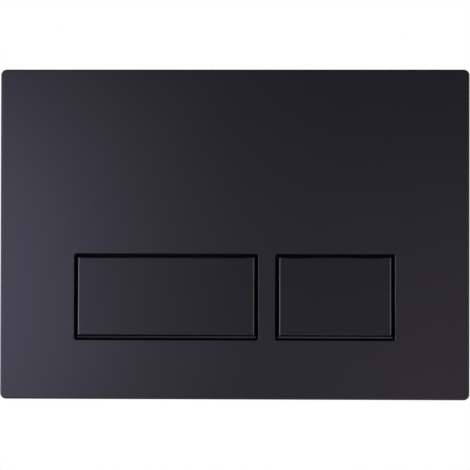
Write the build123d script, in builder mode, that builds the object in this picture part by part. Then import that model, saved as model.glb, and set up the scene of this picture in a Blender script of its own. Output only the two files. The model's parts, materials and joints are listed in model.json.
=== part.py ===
from build123d import *

import os
from math import cos, pi, radians, sin, tan

# Dual flush plate for a concealed cistern.
# X runs to the right seen from the front, Z up, and Y into the wall. The wall plane is Y = 0,
# and the origin lies in it, at the middle of the plate and of the two fixing bolts.
# All sizes are in millimetres, and angles in degrees.

os.makedirs("parts", exist_ok=True)

# Cover plate
PLATE_WIDTH = 234.5
PLATE_HEIGHT = 165.0
PLATE_DEPTH = 11.0
PLATE_CORNER_RADIUS = 3.0
PLATE_EDGE_RADIUS = 0.8
FACE_WALL = 2.4
RIM_WALL = 2.0

# Button windows in the cover, and the collars behind them
WINDOW_SIDE_MARGIN = 37.0
WINDOW_BOTTOM_MARGIN = 29.65
WINDOW_HEIGHT = 43.1
WINDOW_BRIDGE = 8.4
FULL_WINDOW_WIDTH = 92.2
WINDOW_CORNER_RADIUS = 1.25
WINDOW_EDGE_CHAMFER = 0.3
COLLAR_WALL = 1.6
COLLAR_DEPTH = 3.2

# Stiffening ribs, rim gussets, stand-offs and snap hooks behind the face
FIELD_RIB_WALL = 1.2
FIELD_RIB_HEIGHT = 2.2
FIELD_RIB_PITCH = 40.0
GUSSET_WALL = 1.2
GUSSET_REACH = 4.5
GUSSET_PITCH = 60.0
STANDOFF_HEIGHT = 1.0
STANDOFF_LENGTH = 20.0
HOOK_SPREAD = 120.0
HOOK_WIDTH = 10.0
HOOK_WALL = 1.6
HOOK_BARB = 1.4
HOOK_CLEARANCE = 0.1

# Button caps: the faces lean back a little, so that the lower edge stands proud
CAP_SIDE_GAP = 2.1
CAP_TOP_GAP = 1.95
CAP_BOTTOM_GAP = 2.6
CAP_TILT = 2.0
CAP_PROUD = 0.05
CAP_WALL = 2.0
CAP_SKIRT_WALL = 1.5
CAP_SKIRT_DEPTH = 4.8
CAP_EDGE_RADIUS = 0.4
CAP_SIDE_CHAMFER = 0.5
CAP_SIDE_SLOPE = 30.0
LIP_GROOVE = 0.8
LIP_WALL = 0.8
LIP_SETBACK = 1.3
LIP_OVERHANG = 0.75
LIP_SLOPE = 30.0
LEDGE_WALL = 1.2

# Button carriers
CARRIER_CLEARANCE = 0.15
CARRIER_WALL = 1.8
CARRIER_RIB_WALL = 1.4
CARRIER_RIB_HEIGHT = 3.0
CARRIER_RIB_PITCH = 18.0
FLANGE_WALL = 1.4
FLANGE_OVERLAP = 1.4
STOP_CLEARANCE = 0.1
PAD_SIZE = 12.0

# Hinges
PRESS_ANGLE = 6.5
HINGE_RISE = 4.6
HINGE_STANDOFF = 4.0
PIN_RADIUS = 1.5
PIN_SEAT_CLEARANCE = 0.02
PIN_RUNNING_CLEARANCE = 0.06
PIN_END_CLEARANCE = 0.2
PIN_THROAT = 2.5
KNUCKLE_RADIUS = 2.8
ARM_WIDTH = 8.0
ARM_WALL = 2.1
ARM_INSET = 14.0
ARM_ROOT = 6.0
BRACKET_GAP = 0.4
BRACKET_SEAT = 3.0
BRACKET_END_WALL = 1.0
BRACKET_HEIGHT = 5.6
BRACKET_BEHIND_PIN = 1.5

# Rubber buffers under the buttons
BUFFER_WIDTH = 9.0
BUFFER_HEIGHT = 5.0
BUFFER_INSET = 14.0
BUFFER_RISE = 4.0
BUFFER_CLEARANCE = 0.15
BUFFER_EDGE_CHAMFER = 0.5
BUFFER_POCKET_DEPTH = 1.0
BUFFER_POCKET_CLEARANCE = 0.1
BUFFER_POCKET_WALL = 1.0

# Mounting frame: an H section round a wide opening, with a guide bar across it
FRAME_MARGIN = 7.5
FRAME_END_BAR = 12.0
FRAME_OPENING_CLEARANCE = 2.4
FRAME_WALL = 1.8
FRAME_WEB = 2.0
FRAME_WEB_DEPTH = 2.6
FRAME_CORNER_RADIUS = 6.0
FRAME_OPENING_RADIUS = 5.0
FRAME_RIB_WALL = 1.4
FRAME_RIB_SETBACK = 0.6
FRAME_RIB_PITCH = 40.0
HOOK_SLOT_CLEARANCE = 0.6
GUIDE_BAR_HEIGHT = 20.0
GUIDE_BAR_SETBACK = 1.6
GUIDE_BAR_WALL = 2.4
GUIDE_BAR_FLANGE = 1.6
GUIDE_BAR_DEPTH = 6.0
GUIDE_BOSS_WALL = 2.0
GUIDE_BOSS_LENGTH = 8.0

# Push rod guides
SLEEVE_BORE_RADIUS = 5.5
SLEEVE_WALL = 1.5
SLEEVE_FIT = 0.1
SLEEVE_LENGTH = 25.0
SLEEVE_FLANGE_SIZE = 17.0
SLEEVE_FLANGE_WALL = 1.2
SLEEVE_END_WALL = 1.6
SLEEVE_SLOT_WIDTH = 5.0

# Push rods and their plungers
PLUNGER_CLEARANCE = 0.2
PLUNGER_CONTACT_GAP = 0.05
PLUNGER_NOSE_RADIUS = 2.2
PLUNGER_NOSE_LENGTH = 1.6
PLUNGER_LENGTH = 8.4
PLUNGER_CROWN = 3.2
ROD_RADIUS = 3.0
ROD_REACH = 66.0
ROD_NOSE_RADIUS = 2.5
ROD_NOSE_LENGTH = 12.0
ROD_GUIDE_CLEARANCE = 0.3
ROD_THREAD_CLEARANCE = 0.05
ROD_END_CHAMFER = 0.6

# Return springs, each turn drawn as short straight runs of five-sided wire
SPRING_COIL_RADIUS = 4.25
SPRING_WIRE_RADIUS = 0.45
SPRING_TURNS = 5
SPRING_RUNS_PER_TURN = 8
SPRING_WIRE_SIDES = 5
SPRING_SEAT_GAP = 0.05

# Fixing bolts and washers
BOLT_RADIUS = 4.0
BOLT_SHOULDER_RADIUS = 5.0
BOLT_REACH = 66.0
BOLT_HEAD_RADIUS = 7.0
BOLT_HEAD_LENGTH = 2.4
BOLT_HEAD_EDGE = 0.5
BOLT_DRIVE_WIDTH = 2.0
BOLT_DRIVE_LENGTH = 9.0
BOLT_DRIVE_DEPTH = 1.2
SHOULDER_OVERSHOOT = 1.6
WASHER_WALL = 1.0
WASHER_RADIUS = 7.5
WASHER_CLEARANCE = 0.2
FIXING_SLOT_CLEARANCE = 0.3
FIXING_SLOT_TRAVEL = 3.0

# Places that follow from the sizes above
WALL_Y = 0.0
FACE_Y = WALL_Y - PLATE_DEPTH
FACE_BACK_Y = FACE_Y + FACE_WALL
COLLAR_BACK_Y = FACE_BACK_Y + COLLAR_DEPTH
RIM_INSIDE_X = PLATE_WIDTH / 2 - RIM_WALL
RIM_INSIDE_Z = PLATE_HEIGHT / 2 - RIM_WALL

WINDOW_GROUP_WIDTH = PLATE_WIDTH - 2 * WINDOW_SIDE_MARGIN
HALF_WINDOW_WIDTH = WINDOW_GROUP_WIDTH - WINDOW_BRIDGE - FULL_WINDOW_WIDTH
WINDOW_BOTTOM_Z = WINDOW_BOTTOM_MARGIN - PLATE_HEIGHT / 2
WINDOW_TOP_Z = WINDOW_BOTTOM_Z + WINDOW_HEIGHT
WINDOW_Z = (WINDOW_TOP_Z + WINDOW_BOTTOM_Z) / 2
FULL_X = (FULL_WINDOW_WIDTH - WINDOW_GROUP_WIDTH) / 2
HALF_X = (WINDOW_GROUP_WIDTH - HALF_WINDOW_WIDTH) / 2
BUTTONS = {"full_flush": (FULL_X, FULL_WINDOW_WIDTH), "half_flush": (HALF_X, HALF_WINDOW_WIDTH)}

CAP_HEIGHT = WINDOW_HEIGHT - CAP_TOP_GAP - CAP_BOTTOM_GAP
CAP_Z = WINDOW_TOP_Z - CAP_TOP_GAP - CAP_HEIGHT / 2
CAP_FOOT = -CAP_HEIGHT / 2
CAP_FACE_Y = FACE_Y - CAP_PROUD
CAP_OUTWARD = (0, -cos(radians(CAP_TILT)), sin(radians(CAP_TILT)))
CARRIER_INSET = CAP_SKIRT_WALL + CARRIER_CLEARANCE
FLANGE_FRONT_Y = COLLAR_BACK_Y + STOP_CLEARANCE
FLANGE_BACK_Y = FLANGE_FRONT_Y + FLANGE_WALL

HINGE_Y = FACE_BACK_Y + HINGE_STANDOFF
HINGE_Z = WINDOW_TOP_Z + HINGE_RISE
PAD_Y = FLANGE_BACK_Y
ARM_BACK_Y = FLANGE_FRONT_Y + ARM_WALL
PRESS = radians(PRESS_ANGLE)

FRAME_FRONT_Y = FACE_BACK_Y + STANDOFF_HEIGHT
FRAME_HALF_X = RIM_INSIDE_X - FRAME_MARGIN
FRAME_HALF_Z = RIM_INSIDE_Z - FRAME_MARGIN
OPENING_HALF_X = WINDOW_GROUP_WIDTH / 2 + COLLAR_WALL + FRAME_OPENING_CLEARANCE
OPENING_HALF_Z = FRAME_HALF_Z - FRAME_END_BAR
WEB_BACK_Y = WALL_Y - FRAME_WEB_DEPTH
WEB_FRONT_Y = WEB_BACK_Y - FRAME_WEB
HOOK_Z = FRAME_HALF_Z - FRAME_END_BAR / 2
HOOK_PLACES = (-HOOK_SPREAD / 2, HOOK_SPREAD / 2)
FIXING_X = (FRAME_HALF_X + OPENING_HALF_X) / 2

GUIDE_Z = CAP_Z
BAR_FRONT_Y = WALL_Y + GUIDE_BAR_SETBACK
BAR_WEB_BACK_Y = BAR_FRONT_Y + GUIDE_BAR_WALL
BAR_BACK_Y = BAR_FRONT_Y + GUIDE_BAR_DEPTH
GUIDE_BOSS_BACK_Y = BAR_FRONT_Y + GUIDE_BOSS_LENGTH
SLEEVE_RADIUS = SLEEVE_BORE_RADIUS + SLEEVE_WALL
SLEEVE_BACK_Y = BAR_FRONT_Y + SLEEVE_LENGTH
SPRING_SEAT_Y = SLEEVE_BACK_Y - SLEEVE_END_WALL

BUFFER_Z = GUIDE_Z - GUIDE_BAR_HEIGHT / 2 + BUFFER_RISE
BUFFER_SWING = (HINGE_Z - BUFFER_Z + BUFFER_HEIGHT / 2) * tan(PRESS)
BUFFER_BACK_Y = HINGE_Y + (BAR_FRONT_Y - BUFFER_CLEARANCE - HINGE_Y) / cos(PRESS) - BUFFER_SWING

PLUNGER_FRONT_Y = PAD_Y + PLUNGER_CONTACT_GAP
PLUNGER_BACK_Y = PLUNGER_FRONT_Y + PLUNGER_LENGTH
PLUNGER_RADIUS = SLEEVE_BORE_RADIUS - PLUNGER_CLEARANCE
ROD_FRONT_Y = PLUNGER_FRONT_Y + PLUNGER_CROWN
ROD_BORE_RADIUS = ROD_RADIUS + ROD_THREAD_CLEARANCE
ROD_NOSE_Y = ROD_REACH - ROD_NOSE_LENGTH

WASHER_FRONT_Y = WEB_FRONT_Y - WASHER_WALL
BOLT_HEAD_FRONT_Y = WASHER_FRONT_Y - BOLT_HEAD_LENGTH
SHOULDER_BACK_Y = WEB_BACK_Y + SHOULDER_OVERSHOOT


def at_depth(y):
    """A plane across the plate at depth y: sketch X is X, sketch Y is Z, and extruding goes forwards."""
    return Plane.XZ.offset(-y)


def across(x):
    """A plane through the plate at x: sketch X is Y, sketch Y is Z, and extruding goes to the right."""
    return Plane.YZ.offset(x)


def spread(half_length, pitch):
    """Evenly spaced places along a line of that half length, symmetric about its middle."""
    count = int(2 * half_length // pitch)
    return [(i - count / 2) * pitch for i in range(count + 1)]


def save(part, name):
    """Names a finished piece and writes its STEP file."""
    part.label = name
    export_step(part, f"parts/{name}.step")


# Cover plate
FIELD_TOP_Z = OPENING_HALF_Z - FRAME_OPENING_CLEARANCE
FIELD_BOTTOM_Z = HINGE_Z + BRACKET_HEIGHT
FIELD_HALF_X = OPENING_HALF_X - FRAME_OPENING_CLEARANCE - COLLAR_WALL
FIELD_Z = (FIELD_TOP_Z + FIELD_BOTTOM_Z) / 2
FIELD_HEIGHT = FIELD_TOP_Z - FIELD_BOTTOM_Z
HOOK_CATCH_Y = WEB_BACK_Y + HOOK_CLEARANCE
HOOK_TIP_Y = WALL_Y - HOOK_BARB / 2

with BuildPart() as cover:
    with BuildSketch(at_depth(WALL_Y)):
        RectangleRounded(PLATE_WIDTH, PLATE_HEIGHT, PLATE_CORNER_RADIUS)
    extrude(amount=PLATE_DEPTH)
    fillet(cover.faces().sort_by(Axis.Y)[0].edges(), PLATE_EDGE_RADIUS)
    with BuildSketch(at_depth(WALL_Y)):
        RectangleRounded(2 * RIM_INSIDE_X, 2 * RIM_INSIDE_Z, PLATE_CORNER_RADIUS - RIM_WALL)
    extrude(amount=PLATE_DEPTH - FACE_WALL, mode=Mode.SUBTRACT)

    # A crossing field of ribs stiffens the blank upper half
    with BuildSketch(at_depth(FACE_BACK_Y + FIELD_RIB_HEIGHT)):
        with Locations(*[(x, FIELD_Z) for x in spread(FIELD_HALF_X, FIELD_RIB_PITCH)]):
            Rectangle(FIELD_RIB_WALL, FIELD_HEIGHT)
        with Locations(*[(0, FIELD_Z + z) for z in spread(FIELD_HEIGHT / 2, FIELD_RIB_PITCH)]):
            Rectangle(2 * FIELD_HALF_X, FIELD_RIB_WALL)
    extrude(amount=FIELD_RIB_HEIGHT)

    # Gussets brace the rim
    for side in (-1, 1):
        for x in spread(RIM_INSIDE_X - GUSSET_PITCH / 2, GUSSET_PITCH):
            with BuildSketch(across(x - GUSSET_WALL / 2)):
                with BuildLine():
                    Polyline(
                        (FACE_BACK_Y, side * RIM_INSIDE_Z),
                        (FACE_BACK_Y + GUSSET_REACH, side * RIM_INSIDE_Z),
                        (FACE_BACK_Y, side * (RIM_INSIDE_Z - GUSSET_REACH)),
                        close=True,
                    )
                make_face()
            extrude(amount=GUSSET_WALL)
        for z in spread(RIM_INSIDE_Z - GUSSET_PITCH / 2, GUSSET_PITCH):
            with BuildSketch(Plane.XY.offset(z - GUSSET_WALL / 2)):
                with BuildLine():
                    Polyline(
                        (side * RIM_INSIDE_X, FACE_BACK_Y),
                        (side * RIM_INSIDE_X, FACE_BACK_Y + GUSSET_REACH),
                        (side * (RIM_INSIDE_X - GUSSET_REACH), FACE_BACK_Y),
                        close=True,
                    )
                make_face()
            extrude(amount=GUSSET_WALL)

    # Low stand-offs carry the front edges of the mounting frame
    with BuildSketch(at_depth(FRAME_FRONT_Y)):
        for side in (-1, 1):
            with Locations(*[(x, side * (FRAME_HALF_Z - FRAME_WALL / 2)) for x in HOOK_PLACES]):
                Rectangle(STANDOFF_LENGTH, FRAME_WALL)
            with Locations((side * (FRAME_HALF_X - FRAME_WALL / 2), 0)):
                Rectangle(FRAME_WALL, STANDOFF_LENGTH)
    extrude(amount=STANDOFF_HEIGHT)

    # Snap hooks go through the frame's web and catch behind it
    for side in (-1, 1):
        for x in HOOK_PLACES:
            with BuildSketch(across(x - HOOK_WIDTH / 2)):
                with BuildLine():
                    Polyline(
                        (FACE_BACK_Y, side * (HOOK_Z - HOOK_WALL / 2)),
                        (FACE_BACK_Y, side * (HOOK_Z + HOOK_WALL / 2)),
                        (HOOK_CATCH_Y, side * (HOOK_Z + HOOK_WALL / 2)),
                        (HOOK_CATCH_Y, side * (HOOK_Z + HOOK_WALL / 2 + HOOK_BARB)),
                        (HOOK_TIP_Y, side * (HOOK_Z + HOOK_WALL / 2)),
                        (HOOK_TIP_Y, side * (HOOK_Z - HOOK_WALL / 2)),
                        close=True,
                    )
                make_face()
            extrude(amount=HOOK_WIDTH)

    for centre_x, window_width in BUTTONS.values():
        # The collar runs down both sides and along the bottom of the window
        with BuildSketch(at_depth(COLLAR_BACK_Y)):
            with Locations((centre_x, WINDOW_Z - COLLAR_WALL / 2)):
                Rectangle(window_width + 2 * COLLAR_WALL, WINDOW_HEIGHT + COLLAR_WALL)
        extrude(amount=COLLAR_DEPTH)
        with BuildSketch(at_depth(COLLAR_BACK_Y)):
            with Locations((centre_x, WINDOW_Z)):
                RectangleRounded(window_width, WINDOW_HEIGHT, WINDOW_CORNER_RADIUS)
        extrude(amount=COLLAR_DEPTH + FACE_WALL, mode=Mode.SUBTRACT)

        # Two open-backed brackets take the ends of the hinge pin
        for side in (-1, 1):
            seat_x = centre_x + side * (window_width / 2 - ARM_INSET + ARM_WIDTH / 2 + BRACKET_GAP)
            with BuildSketch(across(seat_x)):
                with Locations((FACE_BACK_Y, HINGE_Z)):
                    Rectangle(
                        HINGE_STANDOFF + BRACKET_BEHIND_PIN, BRACKET_HEIGHT, align=(Align.MIN, Align.CENTER)
                    )
            extrude(amount=side * (BRACKET_SEAT + BRACKET_END_WALL))
            with BuildSketch(across(seat_x)):
                with Locations((HINGE_Y, HINGE_Z)):
                    Circle(PIN_RADIUS + PIN_SEAT_CLEARANCE)
                    Rectangle(BRACKET_BEHIND_PIN, PIN_THROAT, align=(Align.MIN, Align.CENTER))
            extrude(amount=side * BRACKET_SEAT, mode=Mode.SUBTRACT)

    chamfer(cover.faces().sort_by(Axis.Y)[0].inner_wires().edges(), WINDOW_EDGE_CHAMFER)

save(cover.part, "cover_plate")


# Mounting frame
with BuildPart() as frame:
    with BuildSketch(at_depth(WALL_Y)):
        RectangleRounded(2 * FRAME_HALF_X, 2 * FRAME_HALF_Z, FRAME_CORNER_RADIUS)
        RectangleRounded(2 * OPENING_HALF_X, 2 * OPENING_HALF_Z, FRAME_OPENING_RADIUS, mode=Mode.SUBTRACT)
    extrude(amount=WALL_Y - FRAME_FRONT_Y)

    # The channels in front of and behind the web, with cross ribs left standing in them
    for y_front, y_back in ((FRAME_FRONT_Y, WEB_FRONT_Y), (WEB_BACK_Y, WALL_Y)):
        with BuildSketch(at_depth(y_back)):
            Rectangle(2 * (FRAME_HALF_X - FRAME_WALL), 2 * (FRAME_HALF_Z - FRAME_WALL))
            Rectangle(
                2 * (OPENING_HALF_X + FRAME_WALL), 2 * (OPENING_HALF_Z + FRAME_WALL), mode=Mode.SUBTRACT
            )
        extrude(amount=y_back - y_front, mode=Mode.SUBTRACT)
    with BuildSketch(at_depth(WALL_Y - FRAME_RIB_SETBACK)):
        for side in (-1, 1):
            for x in spread(OPENING_HALF_X, FRAME_RIB_PITCH):
                if abs(abs(x) - HOOK_SPREAD / 2) > HOOK_WIDTH:
                    with Locations((x, side * HOOK_Z)):
                        Rectangle(FRAME_RIB_WALL, FRAME_END_BAR - FRAME_WALL)
            for z in spread(OPENING_HALF_Z, FRAME_RIB_PITCH):
                if abs(z) > WASHER_RADIUS + FRAME_RIB_WALL:
                    with Locations((side * FIXING_X, z)):
                        Rectangle(FRAME_HALF_X - OPENING_HALF_X - FRAME_WALL, FRAME_RIB_WALL)
    extrude(amount=WALL_Y - FRAME_FRONT_Y - 2 * FRAME_RIB_SETBACK)

    # The guide bar is a channel set back behind the wall plane, on cheeks at both ends
    with BuildSketch(at_depth(BAR_BACK_Y)):
        with Locations((0, GUIDE_Z)):
            Rectangle(2 * (OPENING_HALF_X + FRAME_WALL), GUIDE_BAR_HEIGHT)
    extrude(amount=BAR_BACK_Y - BAR_FRONT_Y)
    with BuildSketch(at_depth(BAR_BACK_Y)):
        with Locations((0, GUIDE_Z)):
            Rectangle(2 * OPENING_HALF_X, GUIDE_BAR_HEIGHT - 2 * GUIDE_BAR_FLANGE)
    extrude(amount=BAR_BACK_Y - BAR_WEB_BACK_Y, mode=Mode.SUBTRACT)
    with BuildSketch(at_depth(BAR_FRONT_Y)):
        for side in (-1, 1):
            with Locations((side * (OPENING_HALF_X + FRAME_WALL / 2), GUIDE_Z)):
                Rectangle(FRAME_WALL, GUIDE_BAR_HEIGHT)
    extrude(amount=BAR_FRONT_Y - WEB_BACK_Y)
    for centre_x, _ in BUTTONS.values():
        with BuildSketch(at_depth(GUIDE_BOSS_BACK_Y)):
            with Locations((centre_x, GUIDE_Z)):
                Circle(SLEEVE_RADIUS + SLEEVE_FIT + GUIDE_BOSS_WALL)
        extrude(amount=GUIDE_BOSS_LENGTH)
        with BuildSketch(at_depth(GUIDE_BOSS_BACK_Y)):
            with Locations((centre_x, GUIDE_Z)):
                Circle(SLEEVE_RADIUS + SLEEVE_FIT)
        extrude(amount=GUIDE_BOSS_LENGTH, mode=Mode.SUBTRACT)

    # Slots in the web for the snap hooks and the fixing bolts
    with BuildSketch(at_depth(WEB_BACK_Y)):
        for side in (-1, 1):
            with Locations(*[(x, side * HOOK_Z) for x in HOOK_PLACES]):
                Rectangle(HOOK_WIDTH + 2 * HOOK_SLOT_CLEARANCE, HOOK_WALL + 2 * HOOK_SLOT_CLEARANCE)
            with Locations((side * FIXING_X, 0)):
                SlotCenterToCenter(
                    FIXING_SLOT_TRAVEL, 2 * (BOLT_SHOULDER_RADIUS + FIXING_SLOT_CLEARANCE), rotation=90
                )
    extrude(amount=FRAME_WEB, mode=Mode.SUBTRACT)

save(frame.part, "mounting_frame")


# Buttons: a cap bonded to a carrier that swings on a steel pin
for name, (centre_x, window_width) in BUTTONS.items():
    cap_width = window_width - 2 * CAP_SIDE_GAP
    lip_width = cap_width + 2 * LIP_OVERHANG
    cap_face = Plane(origin=(centre_x, CAP_FACE_Y, CAP_Z), x_dir=(1, 0, 0), z_dir=CAP_OUTWARD)
    cap_end = Plane(origin=cap_face.origin, x_dir=-cap_face.z_dir, z_dir=cap_face.x_dir)

    with BuildPart() as cap:
        with BuildSketch(cap_face):
            Rectangle(cap_width, CAP_HEIGHT)
        extrude(amount=-CAP_SKIRT_DEPTH)
        face = cap.faces().sort_by(Axis.Y)[0]
        chamfer(
            face.edges().filter_by(Axis.X, reverse=True),
            CAP_SIDE_CHAMFER,
            angle=CAP_SIDE_SLOPE,
            reference=face,
        )
        fillet(cap.faces().sort_by(Axis.Y)[0].edges().filter_by(Axis.X), CAP_EDGE_RADIUS)
        with BuildSketch(cap_face.offset(-CAP_WALL)):
            Rectangle(cap_width - 2 * CAP_SKIRT_WALL, CAP_HEIGHT - 2 * CAP_SKIRT_WALL)
        extrude(amount=CAP_WALL - CAP_SKIRT_DEPTH, mode=Mode.SUBTRACT)

        # The lip stands clear of the lower edge, on a ledge at the foot of the skirt, and faces down a little
        lip_heel = LIP_SETBACK + LIP_WALL * tan(radians(LIP_SLOPE))
        with BuildSketch(cap_end):
            with BuildLine():
                Polyline(
                    (CAP_SKIRT_DEPTH, CAP_FOOT),
                    (CAP_SKIRT_DEPTH, CAP_FOOT - LIP_GROOVE - LIP_WALL),
                    (lip_heel, CAP_FOOT - LIP_GROOVE - LIP_WALL),
                    (LIP_SETBACK, CAP_FOOT - LIP_GROOVE),
                    (CAP_SKIRT_DEPTH - LEDGE_WALL, CAP_FOOT - LIP_GROOVE),
                    (CAP_SKIRT_DEPTH - LEDGE_WALL, CAP_FOOT),
                    close=True,
                )
            make_face()
        extrude(amount=lip_width / 2, both=True)
    save(cap.part, f"{name}_cap")

    carrier_width = cap_width - 2 * CARRIER_INSET
    carrier_height = CAP_HEIGHT - 2 * CARRIER_INSET
    ring_width = carrier_width - 2 * CARRIER_RIB_WALL
    ring_height = carrier_height - 2 * CARRIER_RIB_WALL
    arm_places = [centre_x + side * (window_width / 2 - ARM_INSET) for side in (-1, 1)]
    buffer_places = [(centre_x + side * (cap_width / 2 - BUFFER_INSET), BUFFER_Z) for side in (-1, 1)]
    arm_root_z = CAP_Z + ring_height / 2
    pocket_width = BUFFER_WIDTH + 2 * BUFFER_POCKET_CLEARANCE
    pocket_height = BUFFER_HEIGHT + 2 * BUFFER_POCKET_CLEARANCE
    plate_back = CAP_WALL + CARRIER_WALL
    plate_y = CAP_FACE_Y + CAP_WALL + CARRIER_WALL / 2

    with BuildPart() as carrier:
        # The plate against the back of the cap, with a ring and cross ribs
        with BuildSketch(cap_face.offset(-CAP_WALL)):
            Rectangle(carrier_width, carrier_height)
        extrude(amount=-CARRIER_WALL)
        with BuildSketch(cap_face.offset(-plate_back)):
            Rectangle(carrier_width, carrier_height)
            Rectangle(ring_width, ring_height, mode=Mode.SUBTRACT)
            with Locations(*[(x, 0) for x in spread(ring_width / 2, CARRIER_RIB_PITCH)]):
                Rectangle(CARRIER_RIB_WALL, carrier_height)
            Rectangle(carrier_width, CARRIER_RIB_WALL)
        extrude(amount=-CARRIER_RIB_HEIGHT)

        # The flange closes the gap round the cap, and stops the button against the collar
        with BuildSketch(at_depth(FLANGE_BACK_Y)):
            with Locations((centre_x, WINDOW_Z)):
                Rectangle(window_width + 2 * FLANGE_OVERLAP, WINDOW_HEIGHT + 2 * FLANGE_OVERLAP)
            with Locations((centre_x, CAP_Z)):
                Rectangle(ring_width, ring_height, mode=Mode.SUBTRACT)
        extrude(amount=FLANGE_WALL)

        # The pad for the plunger, and a pocket for each buffer
        with BuildSketch(at_depth(PAD_Y)):
            with Locations((centre_x, GUIDE_Z)):
                Rectangle(PAD_SIZE, PAD_SIZE)
            with Locations(*buffer_places):
                Rectangle(pocket_width + 2 * BUFFER_POCKET_WALL, pocket_height + 2 * BUFFER_POCKET_WALL)
        extrude(amount=PAD_Y - plate_y)
        with BuildSketch(at_depth(PAD_Y)):
            with Locations(*buffer_places):
                Rectangle(pocket_width, pocket_height)
        extrude(amount=BUFFER_POCKET_DEPTH, mode=Mode.SUBTRACT)

        # Two arms pass behind the top of the window to the hinge pin
        for arm_x in arm_places:
            with BuildSketch(across(arm_x - ARM_WIDTH / 2)):
                with BuildLine():
                    Polyline(
                        (FLANGE_FRONT_Y, HINGE_Z),
                        (ARM_BACK_Y, HINGE_Z),
                        (ARM_BACK_Y, arm_root_z),
                        (plate_y, arm_root_z - ARM_ROOT),
                        (plate_y, arm_root_z),
                        (FLANGE_FRONT_Y, arm_root_z),
                        close=True,
                    )
                make_face()
                with Locations((HINGE_Y, HINGE_Z)):
                    Circle(KNUCKLE_RADIUS)
                    Circle(PIN_RADIUS + PIN_RUNNING_CLEARANCE, mode=Mode.SUBTRACT)
            extrude(amount=ARM_WIDTH)
    save(carrier.part, f"{name}_carrier")

    pin_half_length = (
        window_width / 2 - ARM_INSET + ARM_WIDTH / 2 + BRACKET_GAP + BRACKET_SEAT - PIN_END_CLEARANCE
    )
    with BuildPart() as pin:
        with BuildSketch(across(centre_x - pin_half_length)):
            with Locations((HINGE_Y, HINGE_Z)):
                Circle(PIN_RADIUS)
        extrude(amount=2 * pin_half_length)
    save(pin.part, f"{name}_hinge_pin")

    with BuildPart() as buffers:
        with BuildSketch(at_depth(BUFFER_BACK_Y)):
            with Locations(*buffer_places):
                Rectangle(BUFFER_WIDTH, BUFFER_HEIGHT)
        extrude(amount=BUFFER_BACK_Y - PAD_Y + BUFFER_POCKET_DEPTH)
        chamfer(buffers.edges().group_by(Axis.Y)[-1], BUFFER_EDGE_CHAMFER)
    save(buffers.part, f"{name}_buffers")


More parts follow.
